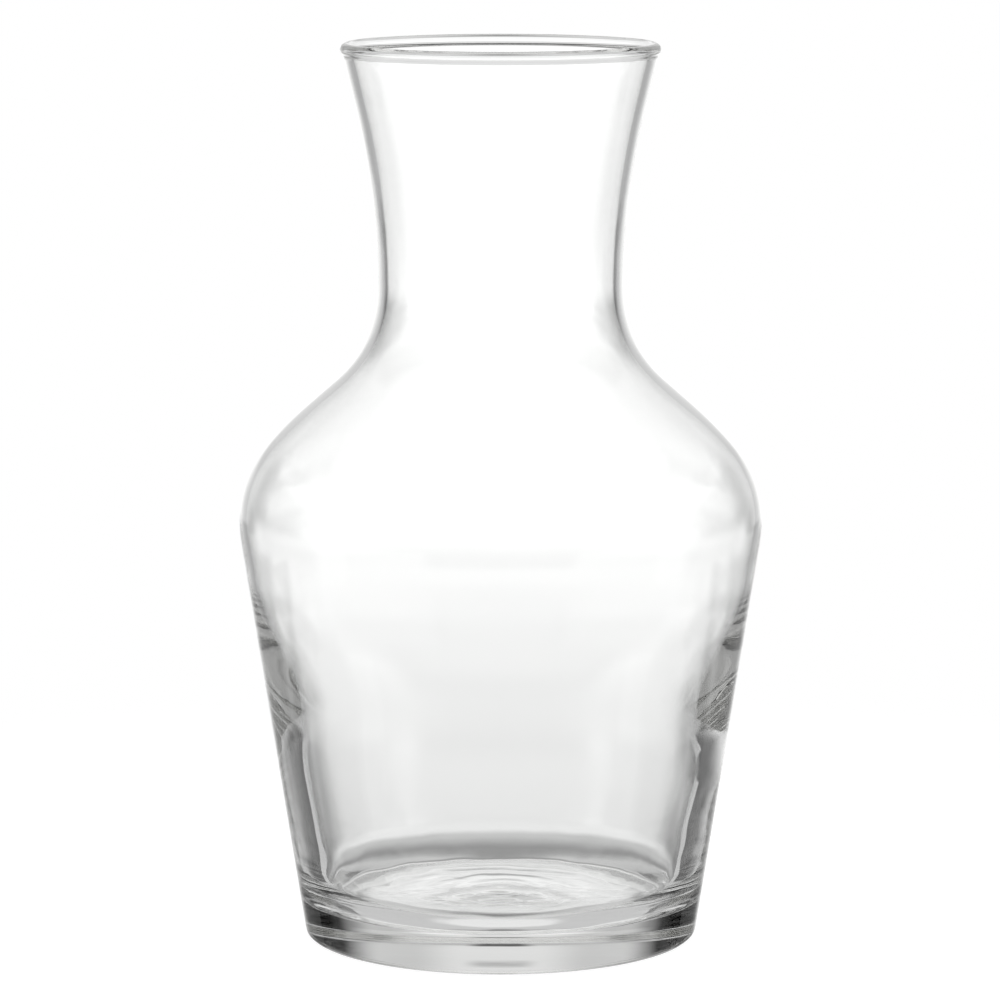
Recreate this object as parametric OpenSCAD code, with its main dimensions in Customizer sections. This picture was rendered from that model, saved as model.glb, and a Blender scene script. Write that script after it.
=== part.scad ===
// Wine carafe for one litre, one piece of clear moulded glass.
// It stands on the table at z = 0, with its axis on Z. The wall is drawn once, as a section
// in radius and height, and revolved. Every curve of the section is tangent to the next.

/* [Overall] */
// Height from the table to the top of the lip
overall_h = 206; // [194:1:218]
// Diameter at the widest point of the belly
belly_d = 120; // [112:1:128]
// Height of the widest point
belly_h = 96.5; // [90:0.5:103]
// Diameter at which the taper of the body would meet the table
foot_d = 90; // [82:1:96]
// Diameter of the neck at its narrowest
neck_d = 56; // [50:1:62]
// Diameter over the bead of the lip
mouth_d = 73; // [66:1:80]

/* [Shoulder and neck curves] */
// Radius of the curve round the belly
belly_curve_r = 27; // [22:0.5:32]
// Normal's angle at which the belly curve passes into the flatter shoulder curve
belly_turn = 41.5; // [36:0.5:45]
// Radius of the flatter shoulder curve
shoulder_curve_r = 89; // [70:1:110]
// Slope of the straight stretch of the shoulder, from upright
shoulder_slope = 48.8; // [46:0.2:52]
// Radius of the hollow curve from the shoulder into the neck
throat_curve_r = 28.5; // [23:0.5:34]
// Share of the neck above its narrowest point that is curved, the rest of it being straight
flare_curve_share = 0.75; // [0.6:0.01:0.9]

/* [Lip] */
// Diameter of the fire-rounded bead
bead_d = 2.8; // [2.5:0.1:3.6]
// How far the bead stands out from the outside of the neck
bead_proud = 0.35; // [0.15:0.05:0.6]

/* [Wall] */
// Wall of the neck
neck_wall = 2.2; // [1.8:0.1:2.4]
// Wall round the belly, where the glass is blown thinnest
belly_wall = 1.6; // [1.2:0.1:2.4]
// Wall of the body under the belly, above the heavy lower part
side_wall = 1.7; // [1.4:0.1:2.4]
// Wall at the top of the heavy lower part
low_wall = 5.3; // [4.2:0.1:6]
// Height at which the heavy lower wall begins to thin
settle_low_h = 46; // [40:0.5:50]
// Height at which it has thinned to the upper wall
settle_top_h = 86; // [78:0.5:86]

/* [Base] */
// Height of the inside floor over the table, at its edge
floor_h = 8.2; // [6:0.2:11]
// Diameter at which the inside of the lower wall would meet the floor
floor_d = 79; // [70:1:82]
// Radius between the floor and the wall
floor_fillet_r = 11; // [7:0.5:13]
// Rise of the floor from its edge to its middle
floor_crown = 1.5; // [0:0.1:2.5]
// Radius of the outer edge under the body
heel_r = 1.8; // [1:0.2:3.6]
// Width of the flat ring that the carafe stands on
bearing_w = 4; // [2.5:0.1:5]
// Height of the shallow hollow inside that ring, in the middle
punt_h = 0.6; // [0.2:0.1:2]

/* [Hidden] */
$fn = 128;

// Farthest that a chord of the section may lie from its true curve
curve_tolerance = 0.02;
// The curve where the heavy wall thins has a handle at each end, as long as this share of
// its height. The longer one at the top lets the wall thicken slowly at first.
settle_low_share = 0.4;
settle_top_share = 0.55;
// Chords in each half wave of the floor and of the hollow underneath, and in the thinning curve
wave_steps = 14;

belly_r = belly_d/2;
foot_r = foot_d/2;
neck_r = neck_d/2;
floor_r = floor_d/2;
bead_r = bead_d/2;

// The belly curve, and the straight side that leaves the foot point and just touches it
belly_c = [belly_r - belly_curve_r, belly_h];
foot_to_belly = belly_c - [foot_r, 0];
side_lean = 90 - atan2(foot_to_belly[1], foot_to_belly[0]) + asin(belly_curve_r/norm(foot_to_belly));
belly_start_h = belly_h - belly_curve_r*sin(side_lean);

// The shoulder curve carries on from the belly curve, so both centres lie on one normal
shoulder_c = belly_c - (shoulder_curve_r - belly_curve_r)*dir(belly_turn);
shoulder_end = shoulder_c + shoulder_curve_r*dir(shoulder_slope);

// The throat curve's centre lies outside the glass, level with the neck's narrowest point
throat_start_r = neck_r + throat_curve_r*(1 - cos(shoulder_slope));
straight_shoulder = (shoulder_end[0] - throat_start_r)/sin(shoulder_slope);
neck_h = shoulder_end[1] + straight_shoulder*cos(shoulder_slope) + throat_curve_r*sin(shoulder_slope);
throat_c = [neck_r + throat_curve_r, neck_h];

// The neck opens from its narrowest point to the bead, curved first and then straight
lip_c = [mouth_d/2 - bead_r, overall_h - bead_r];
neck_top = lip_c + [bead_r - bead_proud, 0];
flare_rise = neck_top[1] - neck_h;
flare_spread = neck_top[0] - neck_r;
flare_lean = 2*atan(flare_half_tangent(8));
flare_curve_r = flare_rise*flare_curve_share/sin(flare_lean);
flare_c = [neck_r + flare_curve_r, neck_h];

// The inside of the heavy lower wall runs straight from the floor up to settle_low_h.
// floor_wall is the wall at its lower end, square to the side.
settle_low = inside_point(side_station(settle_low_h), low_wall);
low_lean = atan((settle_low[0] - floor_r)/(settle_low[1] - floor_h));
floor_wall = (side_station(floor_h)[0] - floor_r)*cos(side_lean);
thinning = (low_wall - floor_wall)/(settle_low_h - floor_h + floor_wall*sin(side_lean));

heel_c = corner_centre([foot_r, 0], side_lean, heel_r);
floor_fillet_c = corner_centre([floor_r, floor_h], low_lean, floor_fillet_r);
bearing_in_r = heel_c[0] - bearing_w;

function dir(angle) = [cos(angle), sin(angle)];

// A station is a place on a surface: [radius, height, angle of the outward normal]
function outside_point(s) = [s[0], s[1]];

// Point of the inside, with this much wall between it and the outside's station s
function inside_point(s, wall) = outside_point(s) - wall*dir(s[2]);

// Station of the outside at height h, on the straight side or on the belly curve above it
function side_station(h) =
    h < belly_start_h ? [foot_r + h*tan(side_lean), h, -side_lean]
    : let (a = asin((h - belly_h)/belly_curve_r)) [belly_c[0] + belly_curve_r*cos(a), h, a];

// Centre of a fillet between a level line and a side that leans outwards from their corner
function corner_centre(corner, lean, r) = corner + [r*(sin(lean) - 1)/cos(lean), r];

// Tangent of half the lean at which a curve and a straight share flare_rise and reach
// flare_spread. Each pass starts from the last one's answer and settles on it.
function flare_half_tangent(passes, t = 0) =
    passes == 0 ? t
    : flare_half_tangent(passes - 1,
        flare_spread*(1 - t*t)/(flare_rise*(2*(1 - flare_curve_share) + flare_curve_share*(1 - t*t))));

// Goes smoothly from 0 to 1 as t does
function ease(t) = (1 - cos(180*min(max(t, 0), 1)))/2;

// Wall of the upper glass at height h: thinnest at the belly, thicker above and below
function wall_at(h) = side_wall
    + (belly_wall - side_wall)*ease((h - settle_top_h)/(belly_h - settle_top_h))
    + (neck_wall - belly_wall)*ease((h - belly_h)/(neck_h - belly_h));

// Stations along an arc. side is 1 where the glass bulges and -1 where it is hollow.
function arc_stations(c, r, from, to, side) =
    let (n = ceil(abs(to - from)/(2*acos(1 - curve_tolerance/r))))
    [for (i = [0:n]) let (a = from + (to - from)*i/n, p = c + side*r*dir(a)) [p[0], p[1], a]];

function bezier(p, t) = (1 - t)^3*p[0] + 3*(1 - t)^2*t*p[1] + 3*(1 - t)*t^2*p[2] + t^3*p[3];

// Half a wave from the middle, where it has its full height, to its level edge
function wave(edge_r, edge_h, rise) =
    [for (i = [0:wave_steps]) [edge_r*i/wave_steps, edge_h + rise*ease(1 - i/wave_steps)]];

// Stations of the outside from the top of the straight side up to the bead
outside_stations = concat(
    arc_stations(belly_c, belly_curve_r, -side_lean, belly_turn, 1),
    arc_stations(shoulder_c, shoulder_curve_r, belly_turn, shoulder_slope, 1),
    arc_stations(throat_c, throat_curve_r, shoulder_slope, 0, -1),
    arc_stations(flare_c, flare_curve_r, 0, -flare_lean, -1),
    [[neck_top[0], neck_top[1], -flare_lean]]);

// The heavy wall has thinned to the upper wall at the first of these
upper_stations = concat(
    [side_station(settle_top_h)], [for (s = outside_stations) if (s[1] > settle_top_h) s]);

underside = wave(bearing_in_r, 0, punt_h);
heel = [for (s = arc_stations(heel_c, heel_r, -90, -side_lean, 1)) outside_point(s)];
outside = [for (s = outside_stations) outside_point(s)];
inside = [for (s = upper_stations) inside_point(s, wall_at(s[1]))];

// The thinning curve is drawn as [height on the outside, wall], so that it follows the outside
settle_rise = settle_top_h - settle_low_h;
settle_frame = [
    [settle_top_h, side_wall],
    [settle_top_h - settle_top_share*settle_rise, side_wall],
    [settle_low_h, low_wall] + settle_low_share*settle_rise*[1, thinning],
    [settle_low_h, low_wall]];
settle_curve = [
    for (i = [1:wave_steps])
        let (q = bezier(settle_frame, i/wave_steps)) inside_point(side_station(q[0]), q[1])];
floor_fillet = [for (s = arc_stations(floor_fillet_c, floor_fillet_r, -low_lean, -90, 1)) outside_point(s)];
inside_floor = reversed(wave(floor_fillet_c[0], floor_h, floor_crown));

function reversed(list) = [for (i = [len(list) - 1:-1:0]) list[i]];

// A station shared by two neighbouring curves is kept once
function without_repeats(points) =
    [for (i = [0:len(points) - 1])
        if (i == 0 || norm(points[i] - points[i - 1]) > curve_tolerance) points[i]];

module wall_section() {
    polygon(without_repeats(concat(
        underside, heel, outside, reversed(inside), settle_curve, floor_fillet, inside_floor)));
}

module lip_bead_section() {
    translate(lip_c) circle(d = bead_d);
}

// The whole carafe: base, body, shoulder, neck and beaded lip in one piece of glass
module glass_body() {
    color([0.88, 0.92, 0.92, 0.4])
    rotate_extrude() {
        wall_section();
        lip_bead_section();
    }
}

glass_body();
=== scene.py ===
# %% [markdown]
# # A clear glass wine carafe
#
# The carafe is one piece of moulded glass: a heavy base, a tapered body, a round belly, a waisted
# neck and a beaded lip. Glass has no colour of its own to paint, so nearly all of its look comes
# from three things: a closed wall with the right thickness everywhere, small faults that the mould
# leaves in that wall, and a studio with light and dark parts for the wall to bend into view. The
# lesson makes them in that order.

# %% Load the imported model
import math

import bpy
import numpy as np
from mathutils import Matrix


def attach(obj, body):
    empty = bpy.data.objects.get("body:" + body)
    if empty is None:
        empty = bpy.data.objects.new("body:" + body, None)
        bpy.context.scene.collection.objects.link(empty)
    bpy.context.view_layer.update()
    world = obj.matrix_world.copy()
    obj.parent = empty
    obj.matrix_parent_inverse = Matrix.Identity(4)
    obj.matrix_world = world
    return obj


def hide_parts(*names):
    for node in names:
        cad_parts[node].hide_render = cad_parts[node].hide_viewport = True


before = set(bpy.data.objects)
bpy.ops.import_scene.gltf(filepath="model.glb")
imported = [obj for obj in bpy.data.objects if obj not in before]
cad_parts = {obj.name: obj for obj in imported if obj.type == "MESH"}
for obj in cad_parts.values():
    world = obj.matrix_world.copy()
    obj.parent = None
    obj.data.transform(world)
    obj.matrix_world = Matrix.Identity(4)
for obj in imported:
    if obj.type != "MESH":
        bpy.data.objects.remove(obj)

for leftover in ("Cube", "Light", "Camera"):
    if leftover in bpy.data.objects:
        bpy.data.objects.remove(bpy.data.objects[leftover])
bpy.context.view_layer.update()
scene = bpy.context.scene
MM = 0.001
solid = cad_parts["glass_body"]

# %% [markdown]
# ## The section of the wall
#
# A turned solid is fully told by its section, the outline that one half of it shows when it is
# sawn down the middle. It could be drawn again here from a list of sizes, but then the two could
# drift apart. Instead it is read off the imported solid: every turned face starts and ends on one
# seam, so the points of the mesh on that seam are exact points of the section.

# %% Read the section off the solid's seam
AXIS_GAP = 0.0005 * MM
SEAM_STEP_DEG = 0.001
SAME_SEAM_STEPS = 2
MM_DIGITS = 4


def seam_section(mesh):
    """Points [radius, height] of the seam in order: from under the base, over the lip, to the floor."""
    places = np.array([v.co for v in mesh.vertices])
    radius = np.hypot(places[:, 0], places[:, 1])
    turn = np.round(np.degrees(np.arctan2(places[:, 1], places[:, 0])) / SEAM_STEP_DEG)
    turns, counts = np.unique(turn[radius > AXIS_GAP], return_counts=True)
    on_seam = (np.abs(turn - turns[np.argmax(counts)]) < SAME_SEAM_STEPS) | (radius <= AXIS_GAP)
    keys = {i: (round(radius[i] / MM, MM_DIGITS), round(places[i, 2] / MM, MM_DIGITS))
            for i in np.flatnonzero(on_seam)}
    neighbours = {key: set() for key in keys.values()}
    for edge in mesh.edges:
        a, b = (keys.get(i) for i in edge.vertices)
        if a and b and a != b:
            neighbours[a].add(b)
            neighbours[b].add(a)
    chain = [min(key for key in neighbours if key[0] == 0)]
    while True:
        onward = [key for key in neighbours[chain[-1]] if key not in chain]
        if not onward:
            return np.array(chain) * MM
        chain.append(min(onward, key=lambda key: math.dist(key, chain[-1])))


section = seam_section(solid.data)
print(len(section), "points on the seam, from", section[0] / MM, "to", section[-1] / MM)

# %% [markdown]
# ## From chords to a smooth outline
#
# The seam is made of short chords. On a plastic part that would pass, but a glass wall bends the
# whole room behind it, and each corner between two chords would show as a line. Each point gets
# the direction of the circle through it and its two neighbours, and a cubic curve joins one point
# to the next in those directions. Where the outline really has a corner, as beside the bead of the
# lip, fire and mould leave it a little round, so an average is run along the whole outline: a
# narrow one at the lip and the foot, and a wider one on the long curves between them.
#
# The flame that melts the lip into a bead also lets it sag a little, and only on the inside, where
# no mould holds it. So the inner half of the bead is stretched down the wall first.

# %% Draw the outline as a smooth curve
FINE_STEP = 0.05 * MM
BELL_REACH = 4
STRAIGHT_RATIO = 2.6
CORNER_DEG = 25
BEAD_SAG = 0.8 * MM


def point_directions(points):
    """Direction of the outline into and out of each point; the two differ only at a true corner."""
    chords = np.diff(points, axis=0)
    lengths = np.linalg.norm(chords, axis=1)
    chords = chords / lengths[:, None]
    into, out = np.vstack([chords[:1], chords]), np.vstack([chords, chords[-1:]])
    for i in range(1, len(points) - 1):
        before, after = lengths[i - 1], lengths[i]
        if math.degrees(math.acos(np.clip(chords[i - 1] @ chords[i], -1, 1))) > CORNER_DEG:
            continue
        if before > STRAIGHT_RATIO * after:
            shared = chords[i - 1]
        elif after > STRAIGHT_RATIO * before:
            shared = chords[i]
        else:
            shared = chords[i - 1] * after + chords[i] * before
        into[i] = out[i] = shared / np.linalg.norm(shared)
    out[0] = (1, 0)
    into[-1] = (-1, 0)
    return into, out


def smooth_outline(points):
    """Cubic curves through the points, cut into steps of about FINE_STEP."""
    into, out = point_directions(points)
    pieces = []
    for i in range(len(points) - 1):
        length = np.linalg.norm(points[i + 1] - points[i])
        t = np.linspace(0, 1, max(2, round(length / FINE_STEP)), endpoint=False)[:, None]
        pieces.append(
            (2 * t**3 - 3 * t**2 + 1) * points[i] + (t**3 - 2 * t**2 + t) * length * out[i]
            + (3 * t**2 - 2 * t**3) * points[i + 1] + (t**3 - t**2) * length * into[i + 1])
    return np.vstack(pieces + [points[-1:]])


def sagged_bead(points):
    """The section with the inner half of its bead stretched down by BEAD_SAG, along the wall below it."""
    top = int(np.argmax(points[:, 1]))
    chords = np.diff(points, axis=0)
    way = np.degrees(np.unwrap(np.arctan2(chords[:, 1], chords[:, 0])))
    corner = next(i for i in range(top + 1, len(way)) if abs(way[i] - way[i - 1]) > CORNER_DEG)
    wall = points[corner:][::-1]
    low = points[corner, 1] - BEAD_SAG
    landing = np.array([np.interp(low, wall[:, 1], wall[:, 0]), low])
    share = (points[top, 1] - points[top:corner + 1, 1]) / (points[top, 1] - points[corner, 1])
    bead = points[top:corner + 1] + share[:, None] * (landing - points[corner])
    below = points[corner + 1:]
    return np.vstack([points[:top], bead, below[below[:, 1] < low - BEAD_SAG / 2]])


def averaged(outline, width):
    """The outline under a bell of this width, mirrored at the axis so that it meets the axis squarely."""
    reach = int(BELL_REACH * width / FINE_STEP)
    mirror = np.array([-1, 1])
    long = np.vstack([outline[reach:0:-1] * mirror, outline, outline[-2:-reach - 2:-1] * mirror])
    bell = np.exp(-0.5 * (np.arange(-reach, reach + 1) * FINE_STEP / width) ** 2)
    bell /= bell.sum()
    return np.stack([np.convolve(long[:, k], bell, mode="valid") for k in (0, 1)], axis=1)


def eased(value, low, high):
    """0 below low, 1 above high, and a soft rise between them."""
    t = np.clip((value - low) / (high - low), 0, 1)
    return t * t * (3 - 2 * t)


NARROW = 0.16 * MM
WIDE = 0.9 * MM
WIDE_FROM = (14 * MM, 24 * MM)
WIDE_UP_TO = (190 * MM, 199 * MM)
sharp_outline = smooth_outline(sagged_bead(section))
height = sharp_outline[:, 1]
along_body = eased(height, *WIDE_FROM) * (1 - eased(height, *WIDE_UP_TO))
outline = averaged(sharp_outline, NARROW) * (1 - along_body)[:, None]
outline += averaged(sharp_outline, WIDE) * along_body[:, None]
lip = int(np.argmax(outline[:, 1]))
print(len(outline), "fine points; the top of the lip is at", outline[lip] / MM)

# %% [markdown]
# ## Rows where the shape needs them
#
# The wall will be a net of rows and columns. Rows lie close together on the bead and round the
# heel, where the outline turns quickly, and far apart on the straight sides. A running total of
# how many rows each bit of outline is worth, cut into equal parts, gives just that.

# %% Choose the rows
WIDEST_ROW = 1.4 * MM
FINEST_ROW = 0.16 * MM
TURN_PER_ROW = math.radians(5)
BEND_SPAN = 41
LEAST_BEND = 1e-6

steps = np.linalg.norm(np.diff(outline, axis=0), axis=1)
heading = np.unwrap(np.arctan2(*np.diff(outline, axis=0).T[::-1]))
bend = np.abs(np.gradient(heading)) / steps
nearby_bend = np.convolve(bend, np.ones(BEND_SPAN) / BEND_SPAN, mode="same")
worth = steps / np.clip(TURN_PER_ROW / np.maximum(nearby_bend, LEAST_BEND), FINEST_ROW, WIDEST_ROW)
total = np.concatenate([[0], np.cumsum(worth)])
row_count = int(total[-1]) + 1
cuts = np.linspace(0, total[-1], row_count)
rows = np.stack([np.interp(cuts, total, outline[:, k]) for k in (0, 1)], axis=1)
rows[0, 0] = rows[-1, 0] = 0
lip_row = int(np.argmax(rows[:, 1]))
print(row_count, "rows,", lip_row, "of them under and outside")

# %% [markdown]
# ## A chain of points that knows which side it is on
#
# The faults of the glass are nearly all on its inside, where no mould touched it. So the chain of
# rows carries two facts for each of its points: how far it is on the inside, from 0 to 1, and the
# direction that points out of the glass there, in which a fault pushes or pulls the surface.

# %% Lay the section down
LIP_ROWS = 14


def section_chain(name, points, inside):
    """A mesh of bare edges at y = 0, with the two facts as attributes of its points."""
    mesh = bpy.data.meshes.new(name)
    mesh.from_pydata([(r, 0, z) for r, z in points], [(i, i + 1) for i in range(len(points) - 1)], [])
    along = np.gradient(points, axis=0)
    along /= np.linalg.norm(along, axis=1)[:, None]
    outward = np.stack([along[:, 1], np.zeros(len(points)), -along[:, 0]], axis=1)
    outward[0], outward[-1] = (0, 0, -1), (0, 0, 1)
    mesh.attributes.new("inside", "FLOAT", "POINT").data.foreach_set("value", inside.astype(np.float32))
    mesh.attributes.new("outward", "FLOAT_VECTOR", "POINT").data.foreach_set(
        "vector", outward.astype(np.float32).ravel())
    chain = bpy.data.objects.new(name, mesh)
    scene.collection.objects.link(chain)
    return chain


inside = eased(np.arange(row_count), lip_row, lip_row + LIP_ROWS)
carafe = section_chain("carafe_glass", rows, inside)
print("the chain has", len(carafe.data.vertices), "points")

# %% [markdown]
# ## Small helpers for node trees
#
# Geometry, materials and the world are all built as node trees below. A tree made in a script is
# easier to read when one line adds a node, fills it and wires it, so a few helpers do that.

# %% Helpers for building a node tree
def add_node(tree, kind, settings=(), **inputs):
    """Adds a node, sets its plain properties, and fills or wires the inputs named, or numbered as i0, i1."""
    node = tree.nodes.new(kind)
    for key, value in settings:
        setattr(node, key, value)
    for key, value in inputs.items():
        numbered = key[0] == "i" and key[1:].isdigit()
        socket = node.inputs[int(key[1:])] if numbered else node.inputs[key.replace("_", " ")]
        if isinstance(value, bpy.types.NodeSocket):
            tree.links.new(value, socket)
        else:
            socket.default_value = value
    return node


def maths(tree, operation, *values):
    """One maths node on plain numbers or on other nodes' outputs."""
    numbered = {f"i{i}": value for i, value in enumerate(values)}
    return add_node(tree, "ShaderNodeMath", [("operation", operation)], **numbered).outputs[0]


def rise(tree, value, low, high):
    """0 below low, 1 above high, and a soft rise between them."""
    settings = [("interpolation_type", "SMOOTHSTEP")]
    return add_node(tree, "ShaderNodeMapRange", settings, Value=value, i1=low, i2=high).outputs[0]


def new_tree(name, kind, inputs, outputs):
    """A node group with named inputs and outputs; returns it and its group input's outputs."""
    tree = bpy.data.node_groups.new(name, kind)
    for title, (socket_type, value) in inputs.items():
        socket = tree.interface.new_socket(title, in_out="INPUT", socket_type=socket_type)
        if value is not None:
            socket.default_value = value
    for title, socket_type in outputs.items():
        tree.interface.new_socket(title, in_out="OUTPUT", socket_type=socket_type)
    return tree, tree.nodes.new("NodeGroupInput").outputs


def group_result(tree, **values):
    """Wires the values to the group's outputs."""
    add_node(tree, "NodeGroupOutput", **values)
    return tree


# %% [markdown]
# ## Turning the section
#
# A lathe or Blender's Spin would turn the section into a wall, but the real wall isn't perfectly
# round: the plunger cools the inside unevenly, so the inside is rippled, the thick lower glass has
# a swelling on one side with a dip below it, and the floor keeps a few rings. Geometry Nodes turn
# the section by a rule and can bend that rule as they go. A flat grid has one row of corners for
# each point of the section and one column for each step round the axis, and every corner is moved
# to its place on the wall. The grid's two ends then meet, and merging by distance closes them.

# %% The faults of the mould, as distances along the outward direction
def bump_noise(tree, vector, pitch, amount, detail=1.0):
    """Soft noise from minus to plus amount, with features about pitch wide."""
    scale = maths(tree, "DIVIDE", 1.0, pitch)
    noise = add_node(tree, "ShaderNodeTexNoise", Vector=vector, Scale=scale, Detail=detail)
    return maths(tree, "MULTIPLY", maths(tree, "SUBTRACT", noise.outputs["Fac"], 0.5),
                 maths(tree, "MULTIPLY", amount, 2.0))


def joined(tree, x, y, z):
    """A vector of three numbers or outputs."""
    return add_node(tree, "ShaderNodeCombineXYZ", X=x, Y=y, Z=z).outputs[0]


FADE_FOOT = 10 * MM
NECK_FADE = (190 * MM, 205 * MM)
HEEL_FADE = (0.0, 6 * MM)
STREAK_STRETCH = 4.0
ROUGH_DETAIL = 2.0
TURNING_INPUTS = {
    "Geometry": ("NodeSocketGeometry", None),
    "Glass": ("NodeSocketMaterial", None),
    "Columns": ("NodeSocketInt", 224),
    "Swelling": ("NodeSocketFloat", 0.25 * MM),
    "Swelling Height": ("NodeSocketFloat", 58 * MM),
    "Swelling Reach": ("NodeSocketFloat", 24 * MM),
    "Swelling Spread": ("NodeSocketFloat", math.radians(48)),
    "Dip": ("NodeSocketFloat", -0.3 * MM),
    "Dip Height": ("NodeSocketFloat", 38 * MM),
    "Dip Reach": ("NodeSocketFloat", 15 * MM),
    "Dip Spread": ("NodeSocketFloat", math.radians(48)),
    "Ripple": ("NodeSocketFloat", 0.03 * MM),
    "Ripple Pitch": ("NodeSocketFloat", 24 * MM),
    "Low Ripple": ("NodeSocketFloat", 0.10 * MM),
    "Low Ripple Pitch": ("NodeSocketFloat", 9 * MM),
    "Low Ripple Top": ("NodeSocketFloat", 40 * MM),
    "Floor Radius": ("NodeSocketFloat", 37 * MM),
    "Floor Top": ("NodeSocketFloat", 14 * MM),
    "Floor Ring": ("NodeSocketFloat", 0.06 * MM),
    "Floor Ring Pitch": ("NodeSocketFloat", 8 * MM),
    "Floor Streak": ("NodeSocketFloat", 0.10 * MM),
    "Floor Streak Pitch": ("NodeSocketFloat", 6 * MM),
    "Mould Skin": ("NodeSocketFloat", 0.015 * MM),
    "Mould Skin Pitch": ("NodeSocketFloat", 30 * MM),
}
MERGE_GAP = 0.0002 * MM


def sampled(tree, chain, index, value, data_type):
    """The value that the chain has at its point number index."""
    node = add_node(tree, "GeometryNodeSampleIndex", [("data_type", data_type), ("domain", "POINT")])
    for source, socket in ((chain, "Geometry"), (value, "Value"), (index, "Index")):
        tree.links.new(source, node.inputs[socket])
    return node.outputs["Value"]


def attribute(tree, name, data_type):
    """The named attribute of the mesh."""
    settings = [("data_type", data_type)]
    return add_node(tree, "GeometryNodeInputNamedAttribute", settings, Name=name).outputs[0]


def split(tree, vector):
    """The three parts of a vector."""
    return add_node(tree, "ShaderNodeSeparateXYZ", Vector=vector).outputs


def mound(tree, given, name, turn, height):
    """A smooth mound on the +X side of the inside, as high as its named input says."""
    up = maths(tree, "SUBTRACT", height, given[name + " Height"])
    up = maths(tree, "DIVIDE", up, given[name + " Reach"])
    along = maths(tree, "DIVIDE", turn, given[name + " Spread"])
    away = add_node(tree, "ShaderNodeVectorMath", [("operation", "LENGTH")],
                    i0=joined(tree, up, along, 0.0)).outputs["Value"]
    return maths(tree, "MULTIPLY", given[name], maths(tree, "SUBTRACT", 1.0, rise(tree, away, 0.0, 1.0)))


def mould_faults(tree, given, place, inside, turn, radius, height):
    """How far the surface stands off its turned shape at each corner."""
    below_neck = maths(tree, "SUBTRACT", 1.0, rise(tree, height, *NECK_FADE))
    ripple = bump_noise(tree, place, given["Ripple Pitch"], given["Ripple"])
    ripple = maths(tree, "MULTIPLY", ripple, below_neck)
    low_band = maths(tree, "SUBTRACT", 1.0, rise(tree, height, FADE_FOOT, given["Low Ripple Top"]))
    low = bump_noise(tree, place, given["Low Ripple Pitch"], given["Low Ripple"], ROUGH_DETAIL)
    on_floor = maths(tree, "SUBTRACT", 1.0, rise(tree, height, FADE_FOOT, given["Floor Top"]))
    ring_turns = maths(tree, "DIVIDE", radius, given["Floor Ring Pitch"])
    ring_turns = maths(tree, "MULTIPLY", ring_turns, 2 * math.pi)
    rings = maths(tree, "MULTIPLY", maths(tree, "COSINE", ring_turns), given["Floor Ring"])
    streak_at = joined(tree, maths(tree, "MULTIPLY", split(tree, place)[0], 1 / STREAK_STRETCH),
                       split(tree, place)[1], 0.0)
    streaks = bump_noise(tree, streak_at, given["Floor Streak Pitch"], given["Floor Streak"], ROUGH_DETAIL)
    floor_faults = maths(tree, "MULTIPLY", maths(tree, "ADD", rings, streaks), on_floor)
    low_faults = maths(tree, "MULTIPLY", low, low_band)
    mounds = maths(tree, "ADD", mound(tree, given, "Swelling", turn, height),
                   mound(tree, given, "Dip", turn, height))
    faults = maths(tree, "ADD", maths(tree, "ADD", ripple, low_faults),
                   maths(tree, "ADD", floor_faults, mounds))
    skin = maths(tree, "MULTIPLY", rise(tree, height, *HEEL_FADE),
                 bump_noise(tree, place, given["Mould Skin Pitch"], given["Mould Skin"]))
    outside = maths(tree, "SUBTRACT", 1.0, inside)
    return maths(tree, "ADD", maths(tree, "MULTIPLY", faults, inside),
                 maths(tree, "MULTIPLY", skin, outside))


# %% The tree that turns the wall
def turning_tree():
    """The rule that turns the chain into a closed wall of glass."""
    tree, given = new_tree("turn_the_wall", "GeometryNodeTree", TURNING_INPUTS,
                           {"Geometry": "NodeSocketGeometry"})
    chain = given["Geometry"]
    count = add_node(tree, "GeometryNodeAttributeDomainSize", Geometry=chain).outputs["Point Count"]
    grid = add_node(tree, "GeometryNodeMeshGrid", Vertices_X=count,
                    Vertices_Y=maths(tree, "ADD", given["Columns"], 1.0)).outputs["Mesh"]
    at = split(tree, tree.nodes.new("GeometryNodeInputPosition").outputs[0])
    row = maths(tree, "ROUND", maths(tree, "MULTIPLY", maths(tree, "ADD", at[0], 0.5),
                                     maths(tree, "SUBTRACT", count, 1.0)))
    turn = maths(tree, "MULTIPLY", at[1], -2 * math.pi)

    here = tree.nodes.new("GeometryNodeInputPosition").outputs[0]
    start = split(tree, sampled(tree, chain, row, here, "FLOAT_VECTOR"))
    outward = attribute(tree, "outward", "FLOAT_VECTOR")
    outward = split(tree, sampled(tree, chain, row, outward, "FLOAT_VECTOR"))
    inside = sampled(tree, chain, row, attribute(tree, "inside", "FLOAT"), "FLOAT")
    east, north = maths(tree, "COSINE", turn), maths(tree, "SINE", turn)

    place = joined(tree, maths(tree, "MULTIPLY", start[0], east),
                   maths(tree, "MULTIPLY", start[0], north), start[2])
    fault = mould_faults(tree, given, place, inside, turn, start[0], start[2])
    radius = maths(tree, "MULTIPLY_ADD", fault, outward[0], start[0])
    height = maths(tree, "MULTIPLY_ADD", fault, outward[2], start[2])
    place = joined(tree, maths(tree, "MULTIPLY", radius, east),
                   maths(tree, "MULTIPLY", radius, north), height)

    wall = add_node(tree, "GeometryNodeSetPosition", Geometry=grid, Position=place).outputs[0]
    wall = add_node(tree, "GeometryNodeMergeByDistance", Geometry=wall, Distance=MERGE_GAP).outputs[0]
    wall = add_node(tree, "GeometryNodeSetShadeSmooth", Geometry=wall).outputs[0]
    wall = add_node(tree, "GeometryNodeRealizeInstances", Geometry=wall).outputs[0]
    wall = add_node(tree, "GeometryNodeSetMaterial", Geometry=wall, Material=given["Glass"]).outputs[0]
    return group_result(tree, Geometry=wall)


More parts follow.
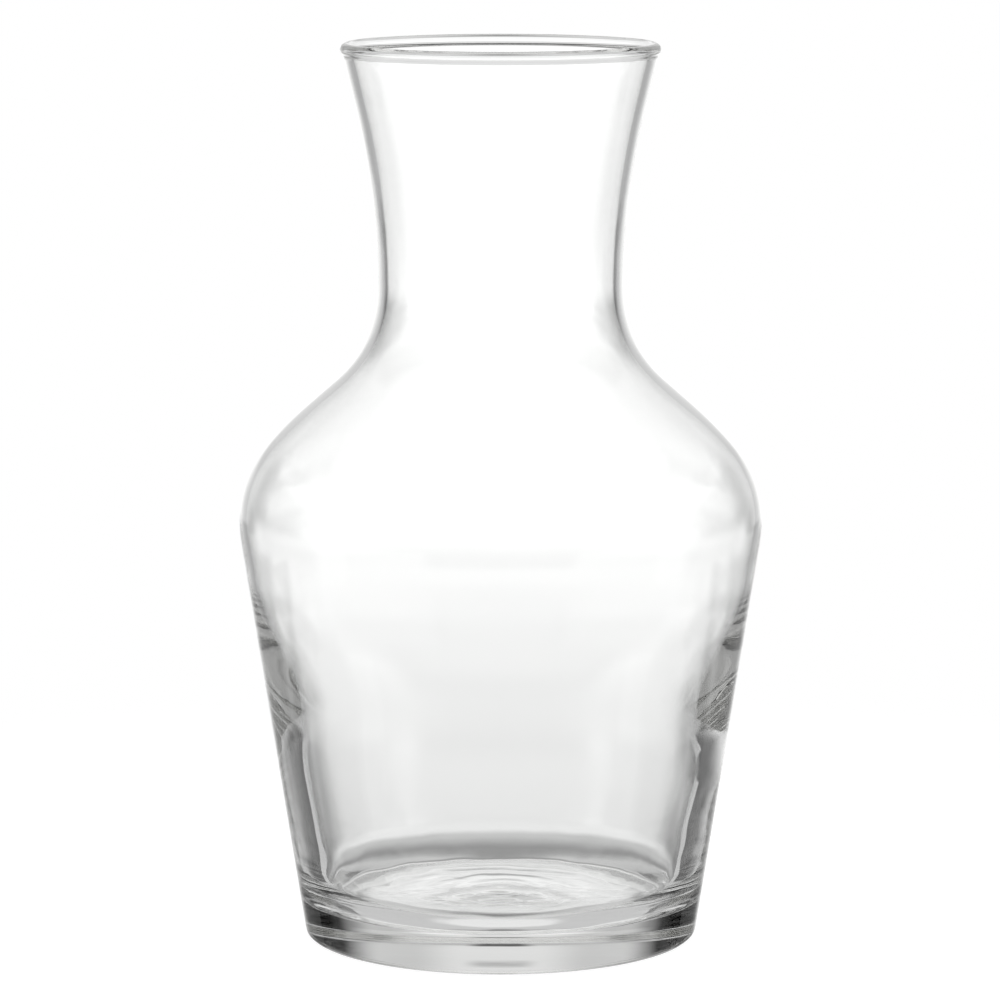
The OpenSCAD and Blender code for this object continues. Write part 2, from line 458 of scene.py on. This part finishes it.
turning = turning_tree()
print("the tree has", len(turning.nodes), "nodes and", len(TURNING_INPUTS) - 1, "sizes")

# %% [markdown]
# ## The glass
#
# Clear soda-lime glass bends light by an index of about 1.52, is polished by fire everywhere, and
# soaks up a very little light, which shows only where one looks through centimetres of it, in the
# base. So it is a plain transmitting surface with a thin grey absorption in its volume. The mould
# leaves its outside faintly uneven, too fine to model, so a node group makes that as a bump, and
# the ring that the carafe stands on is scuffed by tables, so a second group roughens it there.

# %% Two effects as node groups
SCUFF_GRAINS_PER_M = 900.0
SCUFF_DETAIL = 3.0


def mould_skin_group():
    """Height of the faint waviness that the cold mould leaves on the glass."""
    tree, given = new_tree("mould_skin", "ShaderNodeTree", {
        "Pitch": ("NodeSocketFloat", 5 * MM),
        "Height": ("NodeSocketFloat", 1.0)}, {"Height": "NodeSocketFloat"})
    place = tree.nodes.new("ShaderNodeTexCoord").outputs["Object"]
    scale = maths(tree, "DIVIDE", 1.0, given["Pitch"])
    noise = add_node(tree, "ShaderNodeTexNoise", Vector=place, Scale=scale, Detail=1.0)
    return group_result(tree, Height=maths(tree, "MULTIPLY", noise.outputs["Fac"], given["Height"]))


def table_scuff_group():
    """Roughness of the ring that the carafe stands on, broken up as wear is; 0 everywhere else."""
    tree, given = new_tree("table_scuff", "ShaderNodeTree", {
        "Inner Radius": ("NodeSocketFloat", 39.5 * MM),
        "Outer Radius": ("NodeSocketFloat", 43.5 * MM),
        "Top": ("NodeSocketFloat", 0.3 * MM),
        "Roughness": ("NodeSocketFloat", 0.35)}, {"Roughness": "NodeSocketFloat"})
    place = tree.nodes.new("ShaderNodeTexCoord").outputs["Object"]
    at = split(tree, place)
    radius = add_node(tree, "ShaderNodeVectorMath", [("operation", "LENGTH")],
                      i0=joined(tree, at[0], at[1], 0.0)).outputs["Value"]
    low = maths(tree, "LESS_THAN", at[2], given["Top"])
    ring = maths(tree, "MULTIPLY", maths(tree, "GREATER_THAN", radius, given["Inner Radius"]),
                 maths(tree, "LESS_THAN", radius, given["Outer Radius"]))
    noise = add_node(tree, "ShaderNodeTexNoise", Vector=place, Scale=SCUFF_GRAINS_PER_M, Detail=SCUFF_DETAIL)
    worn = maths(tree, "MULTIPLY", noise.outputs["Fac"], given["Roughness"])
    return group_result(tree, Roughness=maths(tree, "MULTIPLY", maths(tree, "MULTIPLY", low, ring), worn))


mould_skin = mould_skin_group()
table_scuff = table_scuff_group()
print("effects:", mould_skin.name, table_scuff.name)

# %% The glass itself
GLASS_INDEX = 1.52
GLASS_TINT = (0.995, 0.998, 0.995, 1)
DEPTH_COLOUR = (0.80, 0.80, 0.78, 1)
DEPTH_DENSITY = 3.0
SKIN_STRENGTH = 0.02
SKIN_DEPTH = 0.2 * MM


def clear_glass():
    """Polished glass: it bends light, absorbs a little and is scuffed only under its foot."""
    material = bpy.data.materials.new("clear_glass")
    material.use_nodes = True
    tree = material.node_tree
    surface = tree.nodes["Principled BSDF"]
    surface.inputs["Base Color"].default_value = GLASS_TINT
    surface.inputs["IOR"].default_value = GLASS_INDEX
    surface.inputs["Transmission Weight"].default_value = 1.0
    skin = add_node(tree, "ShaderNodeGroup", [("node_tree", mould_skin)])
    bump = add_node(tree, "ShaderNodeBump", Strength=SKIN_STRENGTH, Distance=SKIN_DEPTH,
                    Height=skin.outputs[0])
    tree.links.new(bump.outputs[0], surface.inputs["Normal"])
    scuff = add_node(tree, "ShaderNodeGroup", [("node_tree", table_scuff)])
    tree.links.new(scuff.outputs[0], surface.inputs["Roughness"])
    depth = add_node(tree, "ShaderNodeVolumeAbsorption", Color=DEPTH_COLOUR, Density=DEPTH_DENSITY)
    tree.links.new(depth.outputs[0], tree.nodes["Material Output"].inputs["Volume"])
    return material


glass = clear_glass()
print("glass of index", GLASS_INDEX)

# %% [markdown]
# ## Making the wall
#
# The tree now turns the chain into the wall. The result is kept as a plain mesh, because the part
# is exported, and what is handed over has to be the glass itself and not a rule for it.

# %% Turn the wall and keep it as a plain mesh
def set_input(modifier, title, value):
    """Sets the modifier's input of this title."""
    items = modifier.node_group.interface.items_tree
    socket = next(item for item in items if item.name == title and item.in_out == "INPUT")
    modifier[socket.identifier] = value


lathe = carafe.modifiers.new("turn", "NODES")
lathe.node_group = turning
set_input(lathe, "Glass", glass)
depsgraph = bpy.context.evaluated_depsgraph_get()
wall = bpy.data.meshes.new_from_object(carafe.evaluated_get(depsgraph))
carafe.modifiers.clear()
carafe.data = wall
carafe.data.name = "carafe_glass"

wall_triangles = sum(len(face.vertices) - 2 for face in wall.polygons)
print(len(wall.vertices), "corners,", wall_triangles, "triangles")

# %% Check that the wall is closed and faces outwards
def mesh_volume(mesh):
    """Signed volume of a closed mesh: positive if its faces point outwards."""
    mesh.calc_loop_triangles()
    places = np.array([v.co for v in mesh.vertices])
    a, b, c = (places[[t.vertices[k] for t in mesh.loop_triangles]] for k in range(3))
    return float(np.einsum("ij,ij->i", a, np.cross(b, c)).sum() / 6)


def open_edges(mesh):
    """How many edges don't have exactly two faces."""
    uses = {}
    for face in mesh.polygons:
        for key in face.edge_keys:
            uses[key] = uses.get(key, 0) + 1
    return sum(1 for count in uses.values() if count != 2)


print("glass volume:", round(mesh_volume(wall) / MM**3), "cubic mm; edges left open:", open_edges(wall))
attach(carafe, "root")
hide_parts("glass_body")

# %% [markdown]
# ## The studio
#
# Clear glass is photographed against a bright backdrop with dark gaps at its sides: each edge of
# the glass bends one's view out to a gap, which draws the outline. The whole room is made in the
# world, as panels of light that know only their direction, because a carafe is small against a
# studio. The camera itself sees plain white, as the real backdrop is far brighter than the film
# can hold.

# %% One panel of light as a node group
def between(tree, value, low, high, low_blur, high_blur):
    """One inside low to high, nothing outside, with soft edges of the given widths."""
    def edge(at, blur):
        half = maths(tree, "MULTIPLY", blur, 0.5)
        return rise(tree, value, maths(tree, "SUBTRACT", at, half), maths(tree, "ADD", at, half))
    return maths(tree, "MULTIPLY", edge(low, low_blur),
                 maths(tree, "SUBTRACT", 1.0, edge(high, high_blur)))


def light_panel_group():
    """Lays one panel of the given level over the light of the panels behind it."""
    tree, given = new_tree("light_panel", "ShaderNodeTree", {
        "Light": ("NodeSocketFloat", 0.0),
        "Off": ("NodeSocketFloat", 0.0),
        "Elevation": ("NodeSocketFloat", 0.0),
        "Near": ("NodeSocketFloat", -10.0),
        "Far": ("NodeSocketFloat", 190.0),
        "Near Blur": ("NodeSocketFloat", 1.0),
        "Far Blur": ("NodeSocketFloat", 1.0),
        "Bottom": ("NodeSocketFloat", -99.0),
        "Top": ("NodeSocketFloat", 99.0),
        "Bottom Blur": ("NodeSocketFloat", 1.0),
        "Top Blur": ("NodeSocketFloat", 1.0),
        "Level": ("NodeSocketFloat", 1.0)}, {"Light": "NodeSocketFloat"})
    across = between(tree, given["Off"], given["Near"], given["Far"],
                     given["Near Blur"], given["Far Blur"])
    up = between(tree, given["Elevation"], given["Bottom"], given["Top"],
                 given["Bottom Blur"], given["Top Blur"])
    mask = maths(tree, "MULTIPLY", across, up)
    mixed = add_node(tree, "ShaderNodeMix", [("data_type", "FLOAT")],
                     i0=mask, i2=given["Light"], i3=given["Level"])
    return group_result(tree, Light=mixed.outputs[0])


light_panel = light_panel_group()
print("panel inputs:", [item.name for item in light_panel.interface.items_tree])

# %% [markdown]
# ## The panels
#
# A panel is told by its edges in degrees: Near and Far count from the middle of the backdrop to
# either side, Bottom and Top from the horizon, and each edge has a width over which it fades. An
# edge that isn't given runs past the end of the room. A panel stands in front of those before it in
# the list. The beam, path and pool are the lit paper that one sees through the glass. The gaps,
# flags and skirt are black cloth beside it, and draw the edges. The strip and seam, where sheets of
# paper meet, give the faint upright borders on the body, and the near table and floor shade darken
# the far side of the floor. The side box, side foot and slot light what lies straight behind the
# glass for a camera at the side.

# %% The room, panel by panel
PANELS = {
    "room": dict(Level=0.4),
    "ceiling": dict(Bottom=46, Bottom_Blur=6, Level=0.8),
    "upper_back": dict(Far=87.8, Far_Blur=12, Bottom=19.2, Bottom_Blur=3, Top=47, Top_Blur=6, Level=0.49),
    "upper_gap": dict(
        Near=52.7, Near_Blur=12, Far=149.4, Far_Blur=10,
        Bottom=23, Bottom_Blur=8, Top=42.2, Top_Blur=6, Level=0.04),
    "side_box": dict(
        Near=82.4, Near_Blur=0.6, Far=99.6, Far_Blur=3.3,
        Bottom=-6.9, Bottom_Blur=2.9, Top=3.8, Top_Blur=4.9, Level=0.87),
    "back_low": dict(Far=46.7, Far_Blur=3.7, Bottom=-7.3, Top=21.4, Top_Blur=4, Level=0.6),
    "flag": dict(
        Near=35.7, Near_Blur=16, Far=77.6, Far_Blur=6,
        Bottom=-8.7, Bottom_Blur=0.8, Top=19, Top_Blur=6, Level=0),
    "side_foot": dict(
        Near=40.5, Near_Blur=12, Far=147, Far_Blur=6.9,
        Bottom=-20.6, Bottom_Blur=2, Top=-4.1, Top_Blur=8, Level=0.89),
    "skirt": dict(
        Near=34.5, Near_Blur=10, Far=41.2, Far_Blur=8,
        Bottom=-8.5, Bottom_Blur=4, Top=-1.2, Top_Blur=6, Level=0.1),
    "beam": dict(Far=13, Far_Blur=12, Bottom=-6, Bottom_Blur=2.8, Top=19.6, Top_Blur=3, Level=0.78),
    "back_gap": dict(Far=6, Far_Blur=5, Bottom=18, Bottom_Blur=3, Top=40, Top_Blur=6, Level=0.08),
    "table": dict(Top=-18.4, Top_Blur=6, Level=0.98),
    "table_gap": dict(
        Near=19.8, Near_Blur=18, Far=51.5, Far_Blur=9,
        Bottom=-33.1, Bottom_Blur=5.4, Top=-15.6, Top_Blur=4, Level=0.19),
    "slot": dict(
        Near=41.8, Near_Blur=1.2, Far=47.7, Far_Blur=0.6,
        Bottom=-29.7, Bottom_Blur=3.1, Top=-20.8, Top_Blur=0.8, Level=0.76),
    "table_card": dict(
        Near=49.1, Near_Blur=5.5, Far=73.8, Far_Blur=10,
        Bottom=-30.3, Bottom_Blur=5.1, Top=-21.4, Top_Blur=1.2, Level=0.3),
    "corner_flag": dict(
        Near=47.4, Near_Blur=1.1, Far=66, Far_Blur=5,
        Bottom=-22.2, Bottom_Blur=1.2, Top=-18.6, Top_Blur=1.2, Level=0),
    "path": dict(Far=12, Far_Blur=12, Bottom=-25, Bottom_Blur=8, Top=-15, Top_Blur=6, Level=1.04),
    "pool": dict(Far=16.6, Far_Blur=17, Bottom=-15.8, Bottom_Blur=8, Top=2.5, Top_Blur=3.5, Level=1.06),
    "pool_core": dict(Far=7.3, Far_Blur=3.6, Bottom=-9.5, Bottom_Blur=2.3, Top=1.7, Top_Blur=7, Level=1.2),
    "strip": dict(Far=5, Far_Blur=2.4, Bottom=-17.5, Bottom_Blur=4, Top=-13.5, Top_Blur=5, Level=1.09),
    "seam": dict(Far=3.3, Far_Blur=1.4, Bottom=-17.5, Bottom_Blur=4, Top=-13.5, Top_Blur=5, Level=0.99),
    "low_table": dict(Bottom=-68.6, Bottom_Blur=10, Top=-28.4, Top_Blur=3, Level=0.68),
    "near_table": dict(Far=12, Far_Blur=12, Bottom=-31, Bottom_Blur=4, Top=-24, Top_Blur=5, Level=0.66),
    "floor_shade": dict(Far=4, Far_Blur=8, Bottom=-53.4, Bottom_Blur=5.8, Top=-31, Top_Blur=10, Level=0.3),
}


def studio_light(tree):
    """The light that comes from each direction of the room."""
    toward = split(tree, tree.nodes.new("ShaderNodeTexCoord").outputs["Generated"])
    turn = maths(tree, "DEGREES", maths(tree, "ARCTAN2", toward[0], toward[1]))
    off = maths(tree, "ABSOLUTE", turn)
    elevation = maths(tree, "DEGREES", maths(tree, "ARCSINE", toward[2]))
    light = None
    for name, sizes in PANELS.items():
        panel = add_node(tree, "ShaderNodeGroup", [("node_tree", light_panel), ("label", name)],
                         Off=off, Elevation=elevation, **{key: float(v) for key, v in sizes.items()})
        if light:
            tree.links.new(light, panel.inputs["Light"])
        light = panel.outputs[0]
    return light


PAPER_WHITE = (1, 1, 1, 1)
world = bpy.data.worlds.new("studio")
scene.world = world
world.use_nodes = True
room = world.node_tree
room.nodes.clear()
seen = add_node(room, "ShaderNodeLightPath").outputs["Is Camera Ray"]
white = add_node(room, "ShaderNodeBackground", Color=PAPER_WHITE, Strength=1.0)
lit = add_node(room, "ShaderNodeBackground", Color=PAPER_WHITE, Strength=studio_light(room))
shown = add_node(room, "ShaderNodeMixShader", Fac=seen, i1=lit.outputs[0], i2=white.outputs[0])
add_node(room, "ShaderNodeOutputWorld", Surface=shown.outputs[0])
print(len(PANELS), "panels in the room")

# %% [markdown]
# ## The table
#
# The carafe stands on a white table that runs up into the backdrop without an edge. A round patch
# of it is enough: near the glass it takes a soft shadow, and towards its rim it fades out into the
# white of the room. The glass sees the table as part of the room, so for rays that come out of the
# glass the patch lets the room through, but with a painted shadow: a grey painted into the patch
# dims the room towards the carafe, in place of the carafe's own soft shadow. That is why the lower
# body looks a little greyer than the upper one.

# %% Make the table
TABLE_RADIUS = 320 * MM
TABLE_DROP = 0.05 * MM
FADE_START = 150 * MM
SHADOW_SHARE = 0.35
FADE_END_SHARE = 0.97
TABLE_GLOW = 1.40
TABLE_WHITE = (0.95, 0.95, 0.95, 1)
TABLE_SIDES = 96
# Painted shadow: the strength and reach of the grey that the patch paints over the room seen through the
# glass near the foot.
PAINTED_OWN_SHADE = 0.16
SHADE_FADE = (60 * MM, 320 * MM)


def table_mesh(radius, sides):
    """A round sheet just under the foot."""
    mesh = bpy.data.meshes.new("table")
    rim = [(radius * math.cos(a), radius * math.sin(a), -TABLE_DROP)
           for a in (2 * math.pi * i / sides for i in range(sides))]
    mesh.from_pydata(rim, [], [range(sides)])
    return mesh


def table_paint():
    """White that takes the shadow, fades out at the rim and lets the glass see through it."""
    material = bpy.data.materials.new("white_table")
    material.use_nodes = True
    tree = material.node_tree
    tree.nodes.clear()
    at = split(tree, tree.nodes.new("ShaderNodeTexCoord").outputs["Object"])
    radius = add_node(tree, "ShaderNodeVectorMath", [("operation", "LENGTH")],
                      i0=joined(tree, at[0], at[1], 0.0)).outputs["Value"]
    fade = rise(tree, radius, FADE_START, TABLE_RADIUS * FADE_END_SHARE)
    unseen = maths(tree, "SUBTRACT", 1.0, tree.nodes.new("ShaderNodeLightPath").outputs["Is Camera Ray"])
    clear = maths(tree, "MAXIMUM", fade, unseen)
    paint = add_node(tree, "ShaderNodeBsdfDiffuse", Color=TABLE_WHITE)
    glow = add_node(tree, "ShaderNodeEmission", Strength=TABLE_GLOW)
    lit = add_node(tree, "ShaderNodeMixShader", Fac=SHADOW_SHARE, i1=glow.outputs[0], i2=paint.outputs[0])
    # Painted shadow: for rays that are not camera rays the patch is greyed near the foot, fading out across
    # SHADE_FADE, in place of the carafe's own shadow.
    near_foot = maths(tree, "SUBTRACT", 1.0, rise(tree, radius, *SHADE_FADE))
    shade = maths(tree, "MULTIPLY", maths(tree, "MULTIPLY", near_foot, PAINTED_OWN_SHADE), unseen)
    away = add_node(tree, "ShaderNodeBsdfTransparent", Color=maths(tree, "SUBTRACT", 1.0, shade))
    mixed = add_node(tree, "ShaderNodeMixShader", Fac=clear, i1=lit.outputs[0], i2=away.outputs[0])
    add_node(tree, "ShaderNodeOutputMaterial", Surface=mixed.outputs[0])
    return material


table = bpy.data.objects.new("table", table_mesh(TABLE_RADIUS, TABLE_SIDES))
scene.collection.objects.link(table)
table.data.materials.append(table_paint())
print("table radius in mm:", round(TABLE_RADIUS / MM))

# %% [markdown]
# ## The camera
#
# The photograph looks down on the carafe a little, from about ten times its width. The numbers come
# from a fit of the outline: with this place, tilt and focal length the belly, neck, lip and base
# all fall where the photograph has them.

# %% Place the camera
CAMERA_DISTANCE = 1181.36 * MM
CAMERA_HEIGHT = 274.32 * MM
CAMERA_SIDE = -0.14 * MM
CAMERA_TILT_DEG = 8.34
CAMERA_LENS = 187.13
NEAREST_SEEN = 50 * MM

camera = bpy.data.objects.new("camera", bpy.data.cameras.new("camera"))
scene.collection.objects.link(camera)
camera.location = (CAMERA_SIDE, -CAMERA_DISTANCE, CAMERA_HEIGHT)
camera.rotation_euler = (math.radians(90 - CAMERA_TILT_DEG), 0, 0)
camera.data.lens = CAMERA_LENS
camera.data.clip_start = NEAREST_SEEN
scene.camera = camera
print("camera at", tuple(round(v, 4) for v in camera.location))

# %% [markdown]
# ## How the picture is made
#
# A look through the base crosses many surfaces, so the light gets more bounces than usual. The
# colours are shown as they are, with no film curve.

# %% Light bounces and colour
BOUNCES = 128
scene.view_settings.view_transform = "Standard"
scene.cycles.max_bounces = BOUNCES
scene.cycles.transmission_bounces = BOUNCES
scene.cycles.glossy_bounces = BOUNCES
print("bounces:", scene.cycles.max_bounces)
